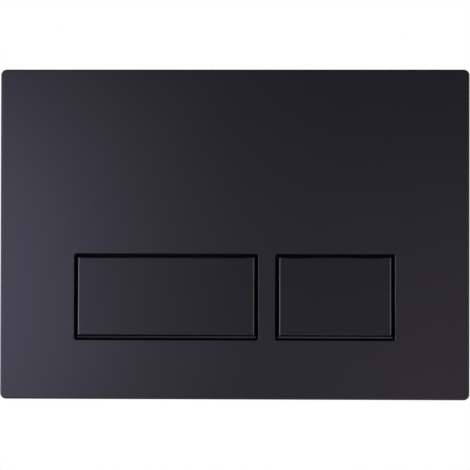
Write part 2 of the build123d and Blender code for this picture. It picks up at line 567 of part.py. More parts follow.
# Push rods and what guides and returns them
for name, (centre_x, _) in BUTTONS.items():
    rod_axis = Axis((centre_x, 0, GUIDE_Z), (0, 1, 0))

    # Turned pieces are drawn on this plane: radius along sketch X, depth along sketch Y
    rod_section = Plane(origin=(centre_x, 0, GUIDE_Z), x_dir=(1, 0, 0), z_dir=(0, 0, 1))

    # The spring holds the sleeve's flange against the guide bar, and shows through its two slots
    slot_front_y = GUIDE_BOSS_BACK_Y + SLEEVE_WALL
    slot_back_y = SPRING_SEAT_Y - SLEEVE_WALL
    with BuildPart() as sleeve:
        with BuildSketch(at_depth(BAR_FRONT_Y)):
            with Locations((centre_x, GUIDE_Z)):
                Rectangle(SLEEVE_FLANGE_SIZE, SLEEVE_FLANGE_SIZE)
        extrude(amount=SLEEVE_FLANGE_WALL)
        with BuildSketch(at_depth(SLEEVE_BACK_Y)):
            with Locations((centre_x, GUIDE_Z)):
                Circle(SLEEVE_RADIUS)
        extrude(amount=SLEEVE_LENGTH)
        with BuildSketch(at_depth(SPRING_SEAT_Y)):
            with Locations((centre_x, GUIDE_Z)):
                Circle(SLEEVE_BORE_RADIUS)
        extrude(amount=SPRING_SEAT_Y - BAR_FRONT_Y + SLEEVE_FLANGE_WALL, mode=Mode.SUBTRACT)
        with BuildSketch(at_depth(SLEEVE_BACK_Y)):
            with Locations((centre_x, GUIDE_Z)):
                Circle(ROD_RADIUS + ROD_GUIDE_CLEARANCE)
        extrude(amount=SLEEVE_END_WALL, mode=Mode.SUBTRACT)
        with BuildSketch(at_depth(slot_back_y)):
            with Locations((centre_x, GUIDE_Z)):
                Rectangle(4 * SLEEVE_RADIUS, SLEEVE_SLOT_WIDTH)
        extrude(amount=slot_back_y - slot_front_y, mode=Mode.SUBTRACT)
    save(sleeve.part, f"{name}_guide_sleeve")

    with BuildPart() as plunger:
        with BuildSketch(rod_section):
            with BuildLine():
                Polyline(
                    (0, PLUNGER_FRONT_Y),
                    (PLUNGER_NOSE_RADIUS, PLUNGER_FRONT_Y),
                    (PLUNGER_NOSE_RADIUS, PLUNGER_FRONT_Y + PLUNGER_NOSE_LENGTH),
                    (PLUNGER_RADIUS, PLUNGER_FRONT_Y + PLUNGER_NOSE_LENGTH),
                    (PLUNGER_RADIUS, PLUNGER_BACK_Y),
                    (ROD_BORE_RADIUS, PLUNGER_BACK_Y),
                    (ROD_BORE_RADIUS, ROD_FRONT_Y - ROD_THREAD_CLEARANCE),
                    (0, ROD_FRONT_Y - ROD_THREAD_CLEARANCE),
                    close=True,
                )
            make_face()
        revolve(axis=rod_axis)
    save(plunger.part, f"{name}_plunger")

    with BuildPart() as rod:
        with BuildSketch(rod_section):
            with BuildLine():
                Polyline(
                    (0, ROD_FRONT_Y),
                    (ROD_RADIUS, ROD_FRONT_Y),
                    (ROD_RADIUS, ROD_NOSE_Y),
                    (ROD_NOSE_RADIUS, ROD_NOSE_Y),
                    (ROD_NOSE_RADIUS, ROD_REACH - ROD_END_CHAMFER),
                    (ROD_NOSE_RADIUS - ROD_END_CHAMFER, ROD_REACH),
                    (0, ROD_REACH),
                    close=True,
                )
            make_face()
        revolve(axis=rod_axis)
    save(rod.part, f"{name}_push_rod")

    spring_front_y = PLUNGER_BACK_Y + SPRING_SEAT_GAP + SPRING_WIRE_RADIUS
    spring_length = SPRING_SEAT_Y - SPRING_SEAT_GAP - SPRING_WIRE_RADIUS - spring_front_y
    spring_runs = SPRING_TURNS * SPRING_RUNS_PER_TURN
    turn_angles = [2 * pi * i / SPRING_RUNS_PER_TURN for i in range(spring_runs + 1)]
    coil_points = [
        (
            centre_x + SPRING_COIL_RADIUS * cos(angle),
            spring_front_y + spring_length * i / spring_runs,
            GUIDE_Z + SPRING_COIL_RADIUS * sin(angle),
        )
        for i, angle in enumerate(turn_angles)
    ]
    with BuildPart() as spring:
        with BuildLine() as coil:
            Polyline(*coil_points)
        with BuildSketch(Plane(origin=coil.line @ 0, z_dir=coil.line % 0)):
            RegularPolygon(SPRING_WIRE_RADIUS, SPRING_WIRE_SIDES)
        sweep(path=coil.line, transition=Transition.RIGHT)
    save(spring.part, f"{name}_return_spring")


# Fixing bolts, each pulling the frame back through a washer
FIXING_PLACES = ((-FIXING_X, 0), (FIXING_X, 0))

with BuildPart() as bolts:
    for bolt_x, bolt_z in FIXING_PLACES:
        with BuildSketch(Plane(origin=(bolt_x, 0, bolt_z), x_dir=(1, 0, 0), z_dir=(0, 0, 1))):
            with BuildLine():
                Polyline(
                    (0, BOLT_HEAD_FRONT_Y),
                    (BOLT_HEAD_RADIUS - BOLT_HEAD_EDGE, BOLT_HEAD_FRONT_Y),
                    (BOLT_HEAD_RADIUS, BOLT_HEAD_FRONT_Y + BOLT_HEAD_EDGE),
                    (BOLT_HEAD_RADIUS, WASHER_FRONT_Y),
                    (BOLT_SHOULDER_RADIUS, WASHER_FRONT_Y),
                    (BOLT_SHOULDER_RADIUS, SHOULDER_BACK_Y),
                    (BOLT_RADIUS, SHOULDER_BACK_Y),
                    (BOLT_RADIUS, BOLT_REACH),
                    (0, BOLT_REACH),
                    close=True,
                )
            make_face()
        revolve(axis=Axis((bolt_x, 0, bolt_z), (0, 1, 0)))
    with BuildSketch(at_depth(BOLT_HEAD_FRONT_Y + BOLT_DRIVE_DEPTH)):
        with Locations(*FIXING_PLACES):
            Rectangle(BOLT_DRIVE_LENGTH, BOLT_DRIVE_WIDTH)
            Rectangle(BOLT_DRIVE_WIDTH, BOLT_DRIVE_LENGTH)
    extrude(amount=BOLT_DRIVE_DEPTH, mode=Mode.SUBTRACT)
save(bolts.part, "fixing_bolts")

with BuildPart() as washers:
    with BuildSketch(at_depth(WEB_FRONT_Y)):
        with Locations(*FIXING_PLACES):
            Circle(WASHER_RADIUS)
            Circle(BOLT_SHOULDER_RADIUS + WASHER_CLEARANCE, mode=Mode.SUBTRACT)
    extrude(amount=WASHER_WALL)
save(washers.part, "fixing_washers")
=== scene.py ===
# %% [markdown]
# # A flush plate in satin black
#
# This lesson dresses a finished CAD model of a dual flush plate: a wide and a narrow button in a flat
# black cover, with a grey frame, springs and push rods behind it. The CAD gives every piece its place
# and size. Blender adds what the eye needs: finishes, round spring wire, screw threads and light.

# %% Load the model
import json
import math

import bmesh
import bpy
from mathutils import Matrix, Vector


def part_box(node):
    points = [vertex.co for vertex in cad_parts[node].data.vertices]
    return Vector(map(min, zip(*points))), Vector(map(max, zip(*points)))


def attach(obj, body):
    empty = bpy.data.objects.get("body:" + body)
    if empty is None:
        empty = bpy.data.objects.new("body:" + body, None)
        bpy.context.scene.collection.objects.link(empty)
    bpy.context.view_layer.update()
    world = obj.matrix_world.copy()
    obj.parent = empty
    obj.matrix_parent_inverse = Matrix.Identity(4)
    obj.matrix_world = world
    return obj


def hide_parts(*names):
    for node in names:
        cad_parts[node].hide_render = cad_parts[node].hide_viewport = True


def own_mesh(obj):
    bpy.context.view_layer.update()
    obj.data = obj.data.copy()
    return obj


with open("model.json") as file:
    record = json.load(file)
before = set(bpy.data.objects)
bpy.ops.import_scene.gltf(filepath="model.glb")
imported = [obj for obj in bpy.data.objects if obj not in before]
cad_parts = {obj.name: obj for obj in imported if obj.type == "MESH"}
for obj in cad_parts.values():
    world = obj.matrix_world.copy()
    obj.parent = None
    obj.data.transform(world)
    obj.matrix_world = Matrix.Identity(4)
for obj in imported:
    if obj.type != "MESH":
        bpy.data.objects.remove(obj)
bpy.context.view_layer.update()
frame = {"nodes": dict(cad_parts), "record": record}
scene = bpy.context.scene
scene.view_settings.view_transform = "Standard"
MM = 0.001
SIDES = ("full", "half")

# %% [markdown]
# ## The camera
#
# The plate was photographed almost square on with a long lens. A camera could be placed by eye, but the
# plate's four corners say more: they are not quite a rectangle in the picture, so the camera stands a
# little to the right of the middle and a little below it. The few angles here bring all four edges
# to within a small part of a pixel in a square picture.

# %% Place the camera
CAMERA_DISTANCE = 900 * MM
CAMERA_YAW = math.radians(1.1938)
CAMERA_PITCH = math.radians(-0.6132)
CAMERA_ROLL = math.radians(0.1179)
CAMERA_TARGET = Vector((0.284, -11.0, -0.326)) * MM
SENSOR_WIDTH = 36.0
LENS = 138.0


def direction(yaw, pitch):
    """The way from the plate towards a point in front of it, turned right by yaw and up by pitch."""
    return Vector(
        (math.sin(yaw) * math.cos(pitch), -math.cos(yaw) * math.cos(pitch), math.sin(pitch))
    )


camera_data = bpy.data.cameras.new("camera")
camera_data.sensor_width = SENSOR_WIDTH
camera_data.lens = LENS
camera = bpy.data.objects.new("camera", camera_data)
scene.collection.objects.link(camera)

backwards = direction(CAMERA_YAW, CAMERA_PITCH)
level_right = Vector((0, 0, 1)).cross(backwards).normalized()
level_up = backwards.cross(level_right)
right = level_right * math.cos(CAMERA_ROLL) + level_up * math.sin(CAMERA_ROLL)
up = backwards.cross(right)
camera.matrix_world = Matrix.Translation(CAMERA_TARGET + backwards * CAMERA_DISTANCE) @ Matrix(
    (right, up, backwards)
).transposed().to_4x4()
scene.camera = camera
print("Camera at", [round(value, 4) for value in camera.matrix_world.translation])

# %% [markdown]
# ## A start for every finish
#
# Each finish is a Principled shader with noise behind it. The noise reads Object coordinates, which are
# metres here, so a grain keeps its real size on a large cover and on a small washer. Blender's noise
# seldom leaves the range from 0.3 to 0.7, so that range is spread over the values that a finish needs.

# %% Helpers for finishes
NOISE_LOW = 0.3
NOISE_HIGH = 0.7


def new_finish(name, colour, metallic=0.0, specular=0.5):
    """A material with one Principled shader, and the node tree to build its grain in."""
    finish = bpy.data.materials.new(name)
    finish.use_nodes = True
    tree = finish.node_tree
    tree.nodes.clear()
    shader = tree.nodes.new("ShaderNodeBsdfPrincipled")
    output = tree.nodes.new("ShaderNodeOutputMaterial")
    tree.links.new(shader.outputs["BSDF"], output.inputs["Surface"])
    shader.inputs["Base Color"].default_value = (*colour, 1.0)
    shader.inputs["Metallic"].default_value = metallic
    shader.inputs["Specular IOR Level"].default_value = specular
    return finish, tree, shader


def add_noise(tree, per_metre, detail=3.0, stretch=(1.0, 1.0, 1.0)):
    """Noise on Object coordinates with that many grains in a metre, drawn out where stretch is small."""
    place = tree.nodes.new("ShaderNodeTexCoord")
    turn = tree.nodes.new("ShaderNodeMapping")
    noise = tree.nodes.new("ShaderNodeTexNoise")
    turn.inputs["Scale"].default_value = stretch
    noise.inputs["Scale"].default_value = per_metre
    noise.inputs["Detail"].default_value = detail
    tree.links.new(place.outputs["Object"], turn.inputs["Vector"])
    tree.links.new(turn.outputs["Vector"], noise.inputs["Vector"])
    return noise.outputs["Fac"]


def spread_colours(tree, fac, dark, light, shader):
    """Sends a value to the shader's colour, from dark where it is low to light where it is high."""
    ramp = tree.nodes.new("ShaderNodeValToRGB")
    ramp.color_ramp.elements[0].position = NOISE_LOW
    ramp.color_ramp.elements[1].position = NOISE_HIGH
    ramp.color_ramp.elements[0].color = (*dark, 1.0)
    ramp.color_ramp.elements[1].color = (*light, 1.0)
    tree.links.new(fac, ramp.inputs["Fac"])
    tree.links.new(ramp.outputs["Color"], shader.inputs["Base Color"])


def vary_roughness(tree, fac, shader, middle, swing):
    """Lets the shader's roughness go up and down from its middle by swing."""
    span = tree.nodes.new("ShaderNodeMapRange")
    span.inputs["From Min"].default_value = NOISE_LOW
    span.inputs["From Max"].default_value = NOISE_HIGH
    span.inputs["To Min"].default_value = middle - swing
    span.inputs["To Max"].default_value = middle + swing
    tree.links.new(fac, span.inputs["Value"])
    tree.links.new(span.outputs["Result"], shader.inputs["Roughness"])


def add_bump(tree, fac, shader, height, edge_radius=0.0):
    """Bumps the surface by height, over corners that look rounded where edge_radius is above zero."""
    bump = tree.nodes.new("ShaderNodeBump")
    bump.inputs["Distance"].default_value = height
    tree.links.new(fac, bump.inputs["Height"])
    if edge_radius > 0:
        corner = tree.nodes.new("ShaderNodeBevel")
        corner.inputs["Radius"].default_value = edge_radius
        tree.links.new(corner.outputs["Normal"], bump.inputs["Normal"])
    tree.links.new(bump.outputs["Normal"], shader.inputs["Normal"])


print("Noise is spread from", NOISE_LOW, "to", NOISE_HIGH)

# %% [markdown]
# ## Black plastics
#
# The cover and the caps are black plastic with a fine satin paint. Such paint is nearly black by itself:
# what the eye sees is mostly light that glances off it, so the roughness matters more than the colour.
# A glossier finish would mirror the lamps, and a flat one would lose the soft fall of light from left
# to right. The caps shine a little less than the cover. Carriers and buffers are plainer.

# %% Make the black finishes
MOULDED_BLACK = (0.022, 0.022, 0.023)
RUBBER_BLACK = (0.022, 0.022, 0.022)


def satin_black(name, dark, light, specular, roughness):
    """Satin paint: a faint cloud in its colour, a soft orange peel, and a very fine grain."""
    finish, tree, shader = new_finish(name, light, specular=specular)
    cloud = add_noise(tree, per_metre=25)
    peel = add_noise(tree, per_metre=900, detail=2.0)
    grain = add_noise(tree, per_metre=5000, detail=1.0)
    spread_colours(tree, cloud, dark, light, shader)
    vary_roughness(tree, peel, shader, middle=roughness, swing=0.015)
    add_bump(tree, grain, shader, height=0.0015 * MM)
    return finish


def moulded_black(name, colour, specular, roughness, grain_height):
    """Bare black moulding, with the etched grain of its mould."""
    finish, tree, shader = new_finish(name, colour, specular=specular)
    grain = add_noise(tree, per_metre=2500, detail=4.0)
    cloud = add_noise(tree, per_metre=60)
    vary_roughness(tree, cloud, shader, middle=roughness, swing=0.06)
    add_bump(tree, grain, shader, height=grain_height, edge_radius=0.15 * MM)
    return finish


finish_of_slot = {
    "cover_black": satin_black(
        "cover_satin_black",
        dark=(0.0093, 0.0092, 0.0106),
        light=(0.0107, 0.0105, 0.0122),
        specular=0.5,
        roughness=0.42,
    ),
    "cap_black": satin_black(
        "cap_satin_black",
        dark=(0.0075, 0.0074, 0.0086),
        light=(0.0087, 0.0085, 0.0100),
        specular=0.43,
        roughness=0.42,
    ),
    "carrier_black": moulded_black(
        "carrier_moulded_black", MOULDED_BLACK, specular=0.08, roughness=0.75, grain_height=0.004 * MM
    ),
    "buffer_rubber": moulded_black(
        "buffer_matt_rubber", RUBBER_BLACK, specular=0.4, roughness=0.8, grain_height=0.01 * MM
    ),
}
print("Black finishes:", ", ".join(finish_of_slot))

# %% [markdown]
# ## Dark gaps
#
# Sprayed paint does not reach the bottom of a narrow gap, so behind a certain depth the caps turn matt.
# Their colour is darkened there too, as painted shade for the shade that falls deep in the gaps round
# the buttons. The carriers' flanges close those gaps, and their fronts get a darker colour as painted
# shade, while the backs have the plain black of the mould. Separate materials on picked faces could do
# this, but a value that follows Object Y needs no picking.

# %% Darken the gaps round the buttons
PAINT_END_SHADE_START = -9.4 * MM
PAINT_AND_SHADE_FADE = 0.6 * MM
# Painted shade: the dark colour deep in the gaps round the caps.
GAP_SHADE_BLACK = (0.003, 0.003, 0.0033)
BARE_ROUGHNESS = 0.95
FLANGE_SHADE_END = -5.0 * MM
FLANGE_FADE = 0.4 * MM
# Painted shade: the darker colour on the flange fronts inside the gaps.
FLANGE_SHADE_BLACK = (0.006, 0.006, 0.0065)


def shader_of(finish):
    """The Principled shader of a finish."""
    return next(node for node in finish.node_tree.nodes if node.type == "BSDF_PRINCIPLED")


def fade_with_depth(tree, start, length):
    """A value that rises from 0 to 1 over that length of Object Y."""
    place = tree.nodes.new("ShaderNodeTexCoord")
    axes = tree.nodes.new("ShaderNodeSeparateXYZ")
    fade = tree.nodes.new("ShaderNodeMapRange")
    fade.inputs["From Min"].default_value = start
    fade.inputs["From Max"].default_value = start + length
    tree.links.new(place.outputs["Object"], axes.inputs["Vector"])
    tree.links.new(axes.outputs["Y"], fade.inputs["Value"])
    return fade.outputs["Result"]


def mix_into(tree, fac, kind, deep_value, socket):
    """Puts a mix in front of a shader socket, from what is linked there to the value deep in the gap."""
    mix = tree.nodes.new("ShaderNodeMix")
    mix.data_type = kind
    factor, first, second = [item for item in mix.inputs if item.enabled]
    result = next(item for item in mix.outputs if item.enabled)
    tree.links.new(fac, factor)
    tree.links.new(socket.links[0].from_socket, first)
    second.default_value = deep_value
    tree.links.new(result, socket)


def end_paint_and_shade_inside(finish):
    """Ends a finish's satin paint at a depth: matt behind it, with a darker colour there as painted
    shade.
    """
    tree, shader = finish.node_tree, shader_of(finish)
    depth = fade_with_depth(tree, PAINT_END_SHADE_START, PAINT_AND_SHADE_FADE)
    mix_into(tree, depth, "RGBA", (*GAP_SHADE_BLACK, 1.0), shader.inputs["Base Color"])
    mix_into(tree, depth, "FLOAT", BARE_ROUGHNESS, shader.inputs["Roughness"])


def paint_shade_on_front(finish):
    """Darkens a finish up to a depth as painted shade, and gives it the plain black of its mould behind
    that.
    """
    tree, shader = finish.node_tree, shader_of(finish)
    depth = fade_with_depth(tree, FLANGE_SHADE_END, FLANGE_FADE)
    spread_colours(tree, depth, FLANGE_SHADE_BLACK, MOULDED_BLACK, shader)


# Both calls paint shade into the gaps round the buttons.
end_paint_and_shade_inside(finish_of_slot["cap_black"])
paint_shade_on_front(finish_of_slot["carrier_black"])
print("Paint ends at", PAINT_END_SHADE_START / MM, "mm, and the dulled front at", FLANGE_SHADE_END / MM, "mm")

# %% [markdown]
# ## Grey and natural plastics
#
# The frame is grey moulding with a spark-etched grain. Guides and plungers are natural acetal, rods and
# bolts natural nylon: both are milky, and light goes a little way into them. A plain white would look
# like chalk, so a small share of subsurface light softens them, with a radius of half a millimetre.

# %% Make the grey and natural finishes
MILK_RADIUS = 0.5 * MM
MILK_TINT = (1.0, 0.9, 0.7)


def moulded_grey(name, dark, light):
    """Grey moulding: slow streaks from the flow of plastic, and an even etched grain."""
    finish, tree, shader = new_finish(name, light)
    flow = add_noise(tree, per_metre=14, stretch=(1.0, 1.0, 0.4))
    grain = add_noise(tree, per_metre=1800, detail=4.0)
    spread_colours(tree, flow, dark, light, shader)
    vary_roughness(tree, grain, shader, middle=0.55, swing=0.07)
    add_bump(tree, grain, shader, height=0.006 * MM, edge_radius=0.25 * MM)
    return finish


def natural_plastic(name, dark, light, milkiness, roughness):
    """Milky plastic with a cloud in its colour and a faint tooling grain."""
    finish, tree, shader = new_finish(name, light)
    cloud = add_noise(tree, per_metre=120)
    grain = add_noise(tree, per_metre=2200)
    spread_colours(tree, cloud, dark, light, shader)
    vary_roughness(tree, grain, shader, middle=roughness, swing=0.05)
    add_bump(tree, grain, shader, height=0.003 * MM, edge_radius=0.15 * MM)
    shader.inputs["Subsurface Weight"].default_value = milkiness
    shader.inputs["Subsurface Radius"].default_value = MILK_TINT
    shader.inputs["Subsurface Scale"].default_value = MILK_RADIUS
    return finish


finish_of_slot["frame_grey"] = moulded_grey(
    "frame_moulded_grey", dark=(0.27, 0.28, 0.29), light=(0.31, 0.32, 0.33)
)
finish_of_slot["guide_acetal"] = natural_plastic(
    "guide_natural_acetal", (0.74, 0.74, 0.71), (0.80, 0.80, 0.77), milkiness=0.15, roughness=0.36
)
finish_of_slot["plunger_acetal"] = natural_plastic(
    "plunger_natural_acetal", (0.76, 0.76, 0.73), (0.82, 0.82, 0.79), milkiness=0.15, roughness=0.32
)
for part in ("rod", "bolt"):
    finish_of_slot[f"{part}_nylon"] = natural_plastic(
        f"{part}_natural_nylon", (0.70, 0.69, 0.64), (0.76, 0.75, 0.70), milkiness=0.15, roughness=0.42
    )
print("Finishes so far:", len(finish_of_slot))

# %% [markdown]
# ## Metals
#
# The hinge pins are ground along their length, the spring wire is drawn, and the washers are zinc plated.
# A metal is told apart by its scratches: long thin noise along X gives the pins their grind, and
# crystals from a Voronoi pattern break up the zinc.

# %% Make the metal finishes


def ground_steel(name, colour, scratches_per_metre, stretch=(1.0, 1.0, 1.0)):
    """Bright steel with fine lines, drawn out along one way where stretch is small."""
    finish, tree, shader = new_finish(name, colour, metallic=1.0)
    lines = add_noise(tree, scratches_per_metre, stretch=stretch)
    vary_roughness(tree, lines, shader, middle=0.28, swing=0.08)
    add_bump(tree, lines, shader, height=0.002 * MM)
    return finish


def zinc_plate(name, dark, light, crystals_per_metre):
    """Zinc plating, with small crystals of slightly different brightness."""
    finish, tree, shader = new_finish(name, light, metallic=1.0)
    place = tree.nodes.new("ShaderNodeTexCoord")
    crystals = tree.nodes.new("ShaderNodeTexVoronoi")
    crystals.inputs["Scale"].default_value = crystals_per_metre
    tree.links.new(place.outputs["Object"], crystals.inputs["Vector"])
    spread_colours(tree, crystals.outputs["Distance"], dark, light, shader)
    grain = add_noise(tree, per_metre=1500)
    vary_roughness(tree, grain, shader, middle=0.375, swing=0.075)
    add_bump(tree, grain, shader, height=0.002 * MM)
    return finish


finish_of_slot["stainless_pin"] = ground_steel(
    "pin_ground_steel", (0.60, 0.59, 0.57), scratches_per_metre=6000, stretch=(0.02, 1.0, 1.0)
)
finish_of_slot["spring_steel"] = ground_steel(
    "spring_drawn_steel", (0.56, 0.55, 0.53), scratches_per_metre=3000
)
finish_of_slot["washer_zinc"] = zinc_plate(
    "washer_zinc_plate", (0.55, 0.56, 0.58), (0.68, 0.69, 0.70), crystals_per_metre=900
)

for subpart in frame["record"]["subparts"]:
    finish = finish_of_slot[subpart["material_slot"]]
    frame["nodes"][subpart["node"]].material_slots[0].material = finish

# %% [markdown]
# ## Return springs
#
# In the CAD the springs are wound from short straight runs. Here they get round wire. A curve with a
# bevel could make the coil, but a bmesh spin does it in one step: it turns a small circle round the
# axis and moves it along at the same time. Spring makers close the last turn at each end, so the spin
# runs three times, with a tight pitch, a wide one, and a tight one again.

# %% Wind the springs
WIRE_RADIUS = 0.45 * MM
WIRE_FACETS = 12
ACTIVE_TURNS = 5
CLOSED_TURN_SPACING = 1.02
END_PITCH = CLOSED_TURN_SPACING * 2 * WIRE_RADIUS
STEPS_PER_TURN = 36
SHARP_ANGLE = math.radians(40)


def finish_piece(mesh, name, slot):
    """Turns a bmesh into a smooth-shaded object with the finish of a record slot."""
    bmesh.ops.recalc_face_normals(mesh, faces=mesh.faces)
    data = bpy.data.meshes.new(name)
    mesh.to_mesh(data)
    mesh.free()
    data.shade_smooth()
    data.set_sharp_from_angle(angle=SHARP_ANGLE)
    data.materials.append(finish_of_slot[slot])
    piece = bpy.data.objects.new(name, data)
    scene.collection.objects.link(piece)
    return piece


def wind_coil(centre, coil_radius, length):
    """A coil of round wire along Y, with a closed turn at each end, from centre's Y onwards."""
    coil = bmesh.new()
    start = centre + Vector((coil_radius, WIRE_RADIUS, 0))
    ring = bmesh.ops.create_circle(
        coil, segments=WIRE_FACETS, radius=WIRE_RADIUS, matrix=Matrix.Translation(start)
    )["verts"]
    active_pitch = (length - 2 * WIRE_RADIUS - 2 * END_PITCH) / ACTIVE_TURNS
    geometry = ring + coil.edges[:]
    for turns, pitch in ((1, END_PITCH), (ACTIVE_TURNS, active_pitch), (1, END_PITCH)):
        geometry = bmesh.ops.spin(
            coil,
            geom=geometry,
            cent=centre,
            axis=(0, 1, 0),
            dvec=(0, pitch / STEPS_PER_TURN, 0),
            angle=2 * math.pi * turns,
            steps=STEPS_PER_TURN * turns,
        )["geom_last"]
    bmesh.ops.holes_fill(coil, edges=[edge for edge in coil.edges if edge.is_boundary], sides=0)
    return coil


for side in SIDES:
    node = f"{side}_flush_return_spring"
    low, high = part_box(node)
    middle = (low + high) / 2
    coil = wind_coil(
        Vector((middle.x, low.y, middle.z)), (high.x - low.x) / 2 - WIRE_RADIUS, high.y - low.y
    )
    spring = finish_piece(coil, f"{side}_round_wire_spring", "spring_steel")
    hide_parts(node)
    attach(spring, "plate")
    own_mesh(spring)
    print(spring.name, len(spring.data.polygons), "faces")

# %% [markdown]
# ## Screw threads
#
# A thread is one V of profile, spun along a helix. The profile spans exactly one pitch, so each turn ends
# where the next begins, and merging the doubles closes the surface. Two cuts with a plane trim the ends
# square, and filling the holes closes them. Drawing each vertex by hand would give the same
# surface in many more lines.
#
# The profile is given in shares: how far along the pitch, and how far up from the root to the crest.

# %% Cut a thread
THREAD_PROFILE = ((0.0, 0.0), (0.4, 1.0), (0.55, 1.0), (0.95, 0.0), (1.0, 0.0))
THREAD_STEPS = 28
SPARE_TURNS = 2
MERGE_DISTANCE = 0.002 * MM


def join_into(mesh, part):
    """Adds one bmesh to another, and frees it."""
    scratch = bpy.data.meshes.new("scratch")
    part.to_mesh(scratch)
    part.free()
    mesh.from_mesh(scratch)
    bpy.data.meshes.remove(scratch)


def add_thread(mesh, axis_x, axis_z, crest_radius, depth, pitch, start, end):
    """Adds a right-hand thread along Y, cut square at start and end, to a bmesh."""
    thread = bmesh.new()
    root_x = axis_x + crest_radius - depth
    first_y = start - pitch
    points = [
        thread.verts.new((root_x + rise * depth, first_y + share * pitch, axis_z))
        for share, rise in THREAD_PROFILE
    ]
    edges = [thread.edges.new(pair) for pair in zip(points, points[1:])]
    turns = math.ceil((end - start) / pitch) + SPARE_TURNS
    bmesh.ops.spin(
        thread,
        geom=points + edges,
        cent=(axis_x, 0, axis_z),
        axis=(0, 1, 0),
        dvec=(0, pitch / THREAD_STEPS, 0),
        angle=2 * math.pi * turns,
        steps=THREAD_STEPS * turns,
    )
    bmesh.ops.remove_doubles(thread, verts=thread.verts, dist=MERGE_DISTANCE)
    for y, outward in ((start, -1), (end, 1)):
        bmesh.ops.bisect_plane(
            thread,
            geom=thread.verts[:] + thread.edges[:] + thread.faces[:],
            plane_co=(axis_x, y, axis_z),
            plane_no=(0, outward, 0),
            clear_outer=True,
        )
    bmesh.ops.holes_fill(thread, edges=[edge for edge in thread.edges if edge.is_boundary], sides=0)
    bmesh.ops.recalc_face_normals(thread, faces=thread.faces)
    join_into(mesh, thread)


print("A thread takes", THREAD_STEPS, "steps a turn")

# %% [markdown]
# ## Plain turned forms
#
# Noses, shoulders and heads are plain cylinders along Y, some with a rounded rim. A spun outline would
# make them too, but a cylinder that hands back its two rims is easier to round at one end only.

# %% Turn a cylinder
CYLINDER_FACETS = 48
RIM_SEGMENTS = 2


def edges_at(edges, y):
    """Those of the edges that lie in the plane at y."""
    return [edge for edge in edges if all(abs(vert.co.y - y) < MERGE_DISTANCE for vert in edge.verts)]


def add_cylinder(mesh, axis_x, axis_z, radius, front, back):
    """Adds a closed cylinder along Y, and returns its rim edges at the front and at the back."""
    centre = Matrix.Translation((axis_x, (front + back) / 2, axis_z))
    verts = bmesh.ops.create_cone(
        mesh,
        cap_ends=True,
        segments=CYLINDER_FACETS,
        radius1=radius,
        radius2=radius,
        depth=back - front,
        matrix=centre @ Matrix.Rotation(math.radians(90), 4, "X"),
    )["verts"]
    edges = list(dict.fromkeys(edge for vert in verts for edge in vert.link_edges))
    return edges_at(edges, front), edges_at(edges, back)


def bevel_rim(mesh, rim, width):
    """Rounds a rim of edges over that width."""
    bmesh.ops.bevel(
        mesh,
        geom=rim,
        offset=width,
        offset_type="OFFSET",
        segments=RIM_SEGMENTS,
        profile=0.5,
        affect="EDGES",
        material=-1,
    )


print("A cylinder has", CYLINDER_FACETS, "facets")

# %% [markdown]
# ## Push rods
#
# Each push rod is a nylon rod with a thread, so that its length can be set, and a plain nose that pushes
# the valve's lever. The thread stays inside the CAD rod's outside diameter.

# %% Thread the push rods
ROD_NOSE_RADIUS = 2.5 * MM
ROD_NOSE_LENGTH = 12.0 * MM
ROD_NOSE_EDGE = 0.6 * MM
ROD_PITCH = 2.0 * MM
ROD_THREAD_DEPTH = 0.6 * MM

for side in SIDES:
    node = f"{side}_flush_push_rod"
    low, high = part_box(node)
    middle = (low + high) / 2
    rod_radius = (high.x - low.x) / 2
    nose_front = high.y - ROD_NOSE_LENGTH
    rod = bmesh.new()
    add_thread(rod, middle.x, middle.z, rod_radius, ROD_THREAD_DEPTH, ROD_PITCH, low.y, nose_front)
    tip_rim = add_cylinder(rod, middle.x, middle.z, ROD_NOSE_RADIUS, nose_front - ROD_PITCH, high.y)[1]
    bevel_rim(rod, tip_rim, ROD_NOSE_EDGE)
    piece = finish_piece(rod, f"{side}_threaded_push_rod", "rod_nylon")
    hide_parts(node)
    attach(piece, f"{side}_rod")
    print(piece.name, len(piece.data.polygons), "faces")

# %% [markdown]
# ## A cross recess
#
# The bolts' heads have a cross recess for a screwdriver. It could be cut with a Boolean, but planes that
# slice the head's front into strips leave clean faces to push in.

# %% Sink a cross
RECESS_HALF_WIDTH = 1.0 * MM
RECESS_HALF_LENGTH = 4.5 * MM
RECESS_DEPTH = 1.2 * MM


def faces_at(mesh, y):
    """The faces whose middle lies in the plane at y."""
    return [face for face in mesh.faces if abs(face.calc_center_median().y - y) < MERGE_DISTANCE]


def sink_cross(mesh, axis_x, axis_z, front):
    """Slices the front face into strips and pushes a cross of them in."""
    for offset in (-RECESS_HALF_LENGTH, -RECESS_HALF_WIDTH, RECESS_HALF_WIDTH, RECESS_HALF_LENGTH):
        for way in (Vector((1, 0, 0)), Vector((0, 0, 1))):
            flat = faces_at(mesh, front)
            rim = list(dict.fromkeys(edge for face in flat for edge in face.edges))
            bmesh.ops.bisect_plane(
                mesh,
                geom=flat + rim,
                plane_co=Vector((axis_x, front, axis_z)) + way * offset,
                plane_no=way,
            )
    cross = []
    for face in faces_at(mesh, front):
        middle = face.calc_center_median()
        near, far = sorted((abs(middle.x - axis_x), abs(middle.z - axis_z)))
        if near < RECESS_HALF_WIDTH and far < RECESS_HALF_LENGTH:
            cross.append(face)
    sunk = bmesh.ops.extrude_face_region(mesh, geom=cross)["geom"]
    floor_verts = [item for item in sunk if isinstance(item, bmesh.types.BMVert)]
    bmesh.ops.translate(mesh, verts=floor_verts, vec=(0, RECESS_DEPTH, 0))
    bmesh.ops.delete(mesh, geom=cross, context="FACES")


print("The recess is", RECESS_DEPTH / MM, "mm deep")

# %% [markdown]
# ## Fixing bolts
#
# Two long nylon bolts hold the frame to the cistern. Each has a flat head with the recess, a plain
# shoulder that fits the frame's slot, and a coarse thread that tapers at its end. The forms reach a
# little way into each other, as a turned bolt is one piece.

